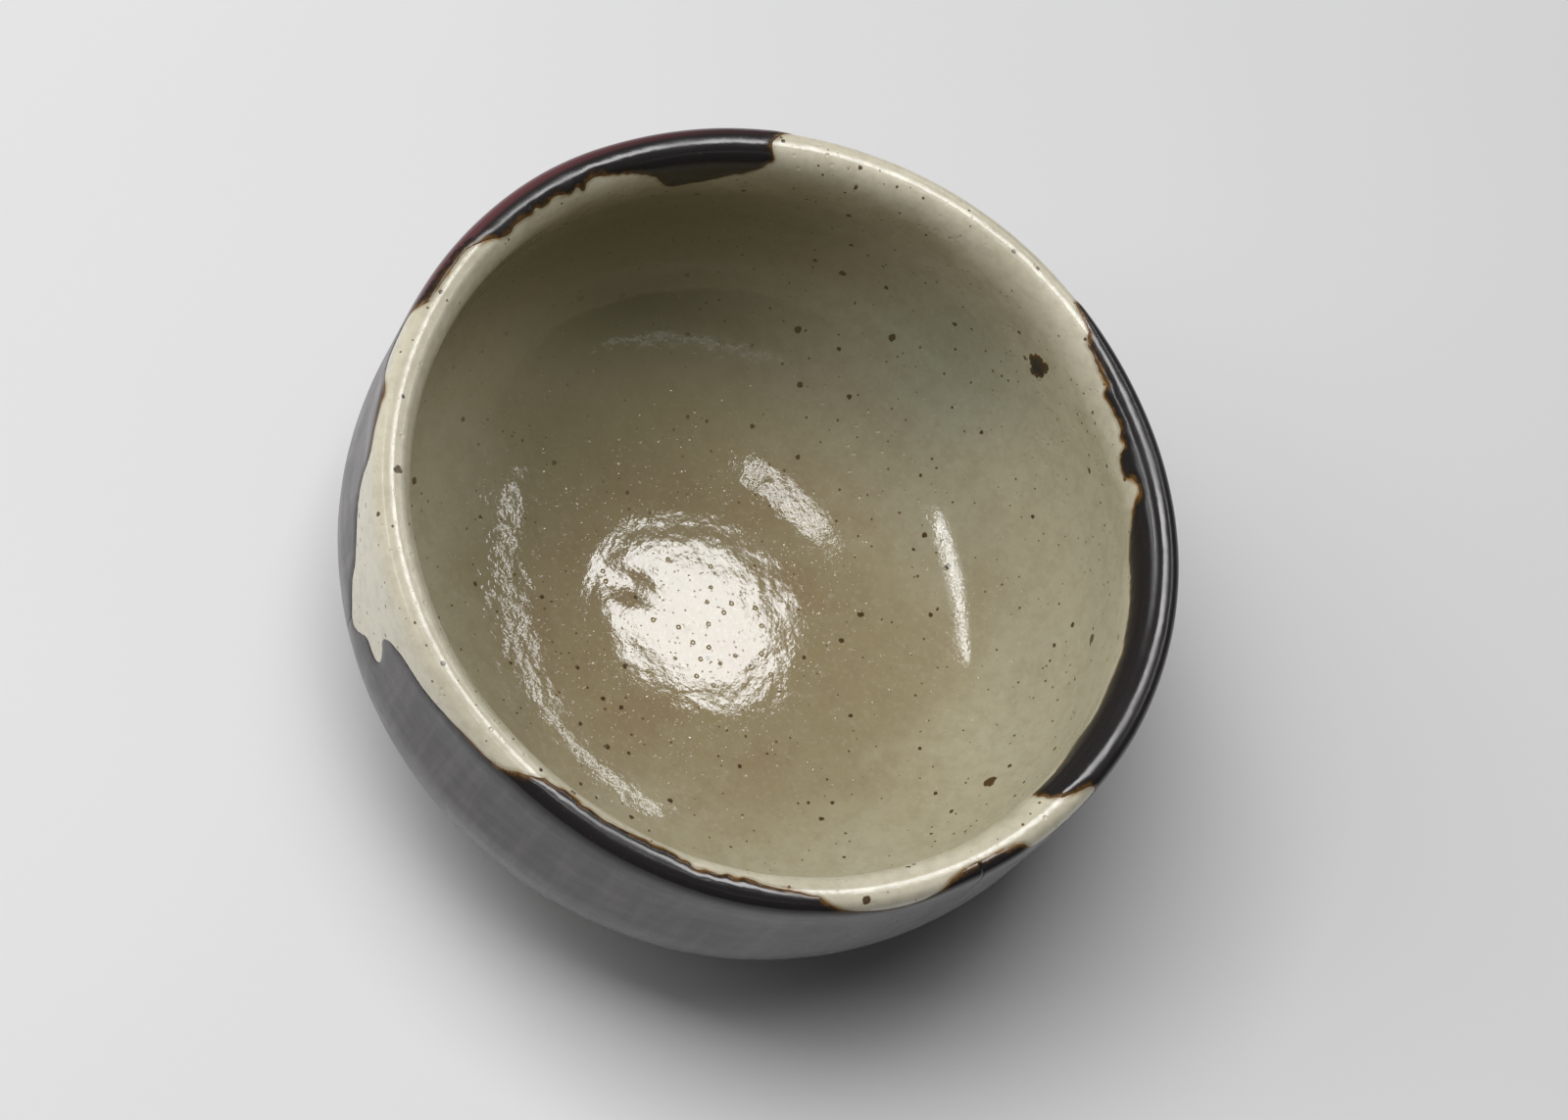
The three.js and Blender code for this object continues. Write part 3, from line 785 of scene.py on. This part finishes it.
def add_light(name, start, end, width, radiance, lit, shape="RECTANGLE", seen=True):
    """A light over the bowl that spans two directions, each azimuth and polar angle in degrees, and shines
    only on the collection lit. Its power is pi times its area times its radiance. Unless seen, it has no
    reflection."""
    first, last = towards(*start), towards(*end)
    away = (first + last) / np.linalg.norm(first + last)
    along = (last - first) - (last - first) @ away * away
    length = np.linalg.norm(along) * LIGHT_DISTANCE
    along /= np.linalg.norm(along)
    data = bpy.data.lights.new(name, "AREA")
    data.shape = shape
    data.size, data.size_y = length, width * LIGHT_DISTANCE
    area = data.size * data.size_y * (math.pi / 4 if shape == "ELLIPSE" else 1)
    data.energy = math.pi * area * radiance
    light = bpy.data.objects.new(name, data)
    bpy.context.scene.collection.objects.link(light)
    turn = Matrix(np.stack([along, np.cross(away, along), away], -1).tolist()).to_4x4()
    light.matrix_world = Matrix.Translation(Vector(MOUTH * MM + away * LIGHT_DISTANCE)) @ turn
    light.visible_glossy = seen
    light.light_linking.receiver_collection = lit


def paper_table():
    """A pale matt sheet, very slightly uneven in tone."""
    material, tree, shader, coords = new_material("pale_paper")
    tone = ramp(tree, noise(tree, coords, 160, 2), [(0.3, (0.78, 0.78, 0.785)), (0.7, (0.8, 0.8, 0.8))])
    tree.links.new(tone, shader.inputs["Base Color"])
    shader.inputs["Roughness"].default_value = 0.9
    tree.links.new(bump(tree, noise(tree, coords, 0.4, 2), 0.01), shader.inputs["Normal"])
    half = 2500.0
    corners = [(-half, -half, 0), (half, -half, 0), (half, half, 0), (-half, half, 0)]
    table = make_piece("table", np.array(corners), [np.array([[0, 1, 2, 3]])])
    table.data.materials.append(material)
    return table


def group(name, pieces):
    """A collection of the given objects, for lights that shine only on them."""
    made = bpy.data.collections.new(name)
    for piece in pieces:
        made.objects.link(piece)
    return made


dips = group("dips", [bpy.data.objects[name + "_coat"] for name in SEAMS])
bowl = group("bowl", [piece for piece in bpy.context.scene.objects if piece.type == "MESH"])
table = paper_table()
surface = group("surface", [table])
add_camera()
add_light("soft_box", (90, 19.5), (90, 35), 0.27, 15, bowl, shape="ELLIPSE")
add_light("top_strip", (135, 9), (45, 9), 0.05, 13, bowl)
add_light("left_strip", (222, 33), (174, 47), 0.035, 20, bowl)
add_light("right_strip", (43, 50), (103, 63), 0.042, 10, bowl)
add_light("far_strip", (2, 53), (304, 36), 0.05, 1.0, bowl)
add_light("left_fill", (197, 25), (197, 78), 0.8, 4.0, bowl, seen=False)
add_light("right_fill", (30, 25), (30, 65), 0.6, 0.8, bowl, seen=False)
add_light("black_sheen", (188, 28), (188, 62), 0.6, 2.4, dips)
add_light("table_top", (20, 1), (195, 41), 0.5, 8.3, surface)
add_light("table_left", (210, 38), (210, 64), 0.6, 2.6, surface)
world = bpy.data.worlds.new("studio")
world.use_nodes = True
world.node_tree.nodes["Background"].inputs["Color"].default_value = (1, 1, 1, 1)
world.node_tree.nodes["Background"].inputs["Strength"].default_value = 0.05
bpy.context.scene.world = world
bpy.context.scene.view_settings.view_transform = "Standard"
